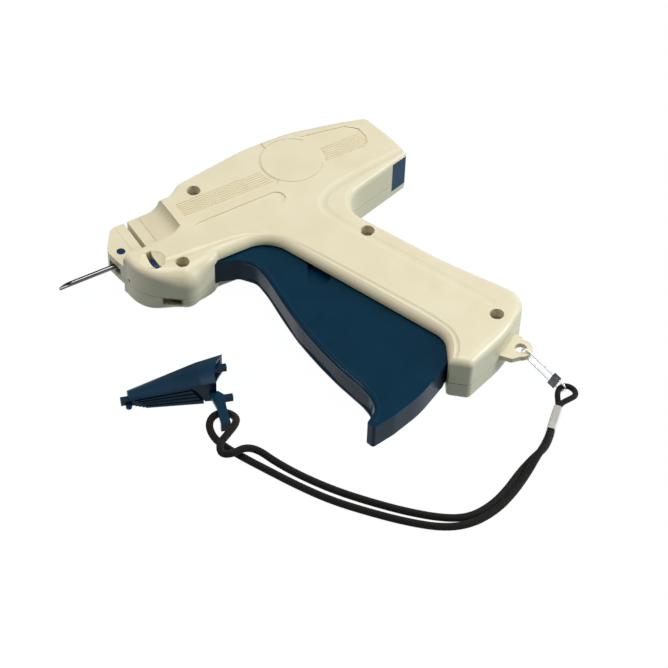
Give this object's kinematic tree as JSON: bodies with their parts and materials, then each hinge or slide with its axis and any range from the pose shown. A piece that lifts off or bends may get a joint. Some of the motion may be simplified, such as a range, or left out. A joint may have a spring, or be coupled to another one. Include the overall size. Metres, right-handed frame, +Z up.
{
  "type": "garment tag attacher",
  "caption": "Pistol-shaped garment tag attacher lying on its side, with a squeeze trigger, slotted needle, feed wheel, corded needle guard and wire clasp.",
  "frame": {"origin": "on the lower side face under the front screw, on the trigger's pivot axis; the tool lies on this face", "axes": "+Z up through the tool's thickness, -X along the needle towards its tip, +Y from the grip towards the top of the barrel"},
  "size_m": [0.1932, 0.2436, 0.0254],
  "materials": {
    "cream_plastic": "smooth moulded, light sheen",
    "cap_blue_plastic": "satin",
    "blue_plastic": "satin",
    "navy_plastic": "smooth moulded",
    "guard_plastic": "smooth moulded",
    "wheel_plastic": "satin",
    "lever_plastic": "plain moulded",
    "needle_steel": "ground",
    "screw_steel": "plated",
    "spring_steel": "drawn wire",
    "chrome_wire": "polished",
    "crimp_metal": "dark plated",
    "ferrule_metal": "polished, pressed",
    "black_rubber": "plain",
    "black_cord": "braided"
  },
  "bodies": {
    "body": {"upper_housing": "cream_plastic", "lower_housing": "cream_plastic", "housing_screws": "screw_steel", "rear_cap": "cap_blue_plastic", "needle": "needle_steel", "needle_base": "blue_plastic", "button_spring": "spring_steel", "feed_wheel_axle": "spring_steel", "lever_pivot_pin": "spring_steel", "return_spring": "spring_steel", "stop_buffer": "black_rubber", "cutter_blade": "needle_steel", "check_pawl": "spring_steel", "needle_guard": "guard_plastic", "lanyard_clasp": "chrome_wire", "clasp_crimp": "crimp_metal", "cord_ferrule": "ferrule_metal", "tether_cord": "black_cord", "tether_loop": "black_cord"},
    "trigger": {"trigger": "navy_plastic", "feed_pawl": "lever_plastic"},
    "lever": {"drive_lever": "lever_plastic", "trigger_link_pin": "spring_steel", "slider_drive_pin": "spring_steel"},
    "slider": {"slider": "lever_plastic", "plunger_rod": "needle_steel"},
    "wheel": {"feed_wheel": "wheel_plastic"},
    "lock_button": {"needle_lock_button": "blue_plastic"}
  },
  "joints": [
    {"name": "trigger_squeeze", "type": "hinge", "parent": "body", "child": "trigger", "pos_m": [0, 0, 0], "axis": [0, 0, 1], "range_deg": [0, 18], "stiffness_Nm_per_rad": 1.5, "springref_deg": -11.46},
    {"name": "lever_turn", "type": "hinge", "parent": "body", "child": "lever", "pos_m": [0.0625, -0.0176, 0], "axis": [0, 0, 1], "range_deg": [0, 86.8]},
    {"name": "plunger_slide", "type": "slide", "parent": "body", "child": "slider", "axis": [-1, 0, 0], "range_m": [0, 0.046], "deforming": ["return_spring"]},
    {"name": "wheel_feed", "type": "hinge", "parent": "body", "child": "wheel", "pos_m": [-0.0112, 0.008, 0.017], "axis": [1, 0, 0], "range_deg": [0, 36]},
    {"name": "lock_press", "type": "slide", "parent": "body", "child": "lock_button", "axis": [0, 0, -1], "range_m": [0, 0.001], "stiffness_N_per_m": 600, "springref_m": -0.0004}
  ],
  "couplings": [
    {"joint": "lever_turn", "follows": "trigger_squeeze", "ratio": 4.8222},
    {"joint": "plunger_slide", "follows": "trigger_squeeze", "m_per_rad": 0.14642},
    {"joint": "wheel_feed", "follows": "trigger_squeeze", "ratio": 2}
  ]
}
